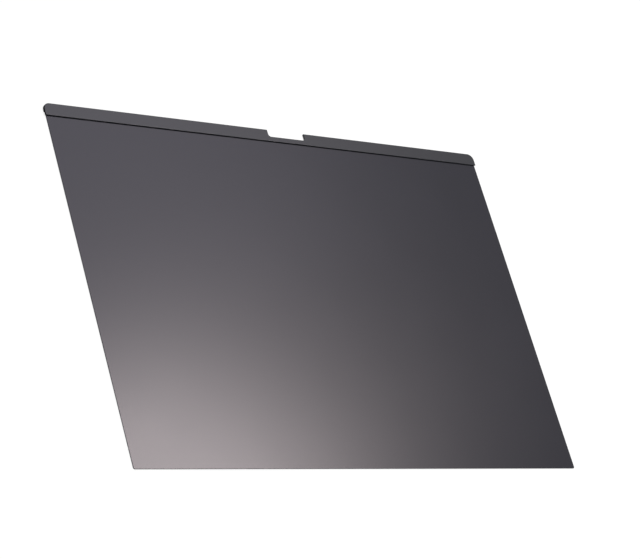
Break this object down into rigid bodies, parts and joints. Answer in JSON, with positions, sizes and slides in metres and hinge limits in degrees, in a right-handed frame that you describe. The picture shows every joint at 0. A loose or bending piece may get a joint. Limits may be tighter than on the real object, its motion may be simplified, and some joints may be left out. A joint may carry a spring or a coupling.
{
  "type": "laptop privacy filter",
  "caption": "Flat laptop privacy filter: a dark satin film hung from a thin magnet bar with a camera notch, which clings to the screen's bezel and narrows the angle of view.",
  "frame": {"origin": "middle of the outline, on the back face that lies against the screen", "axes": "+X along the magnet bar, to the user's right; +Y up the sheet to the bar; +Z out of the front face"},
  "size_m": [0.3032, 0.2046, 0.0012],
  "materials": {
    "film": "satin, dark grey",
    "bar": "matte, fine grain, black sides",
    "tape": "black double-sided tape",
    "backing": "black satin film",
    "magnet": "nickel plated"
  },
  "bodies": {
    "root": {"privacy_film": "film", "magnet_bar": "bar", "bonding_tape": "tape", "left_backing": "backing", "right_backing": "backing", "left_magnet_1": "magnet", "left_magnet_2": "magnet", "left_magnet_3": "magnet", "left_magnet_4": "magnet", "right_magnet_1": "magnet", "right_magnet_2": "magnet", "right_magnet_3": "magnet", "right_magnet_4": "magnet"}
  },
  "joints": []
}
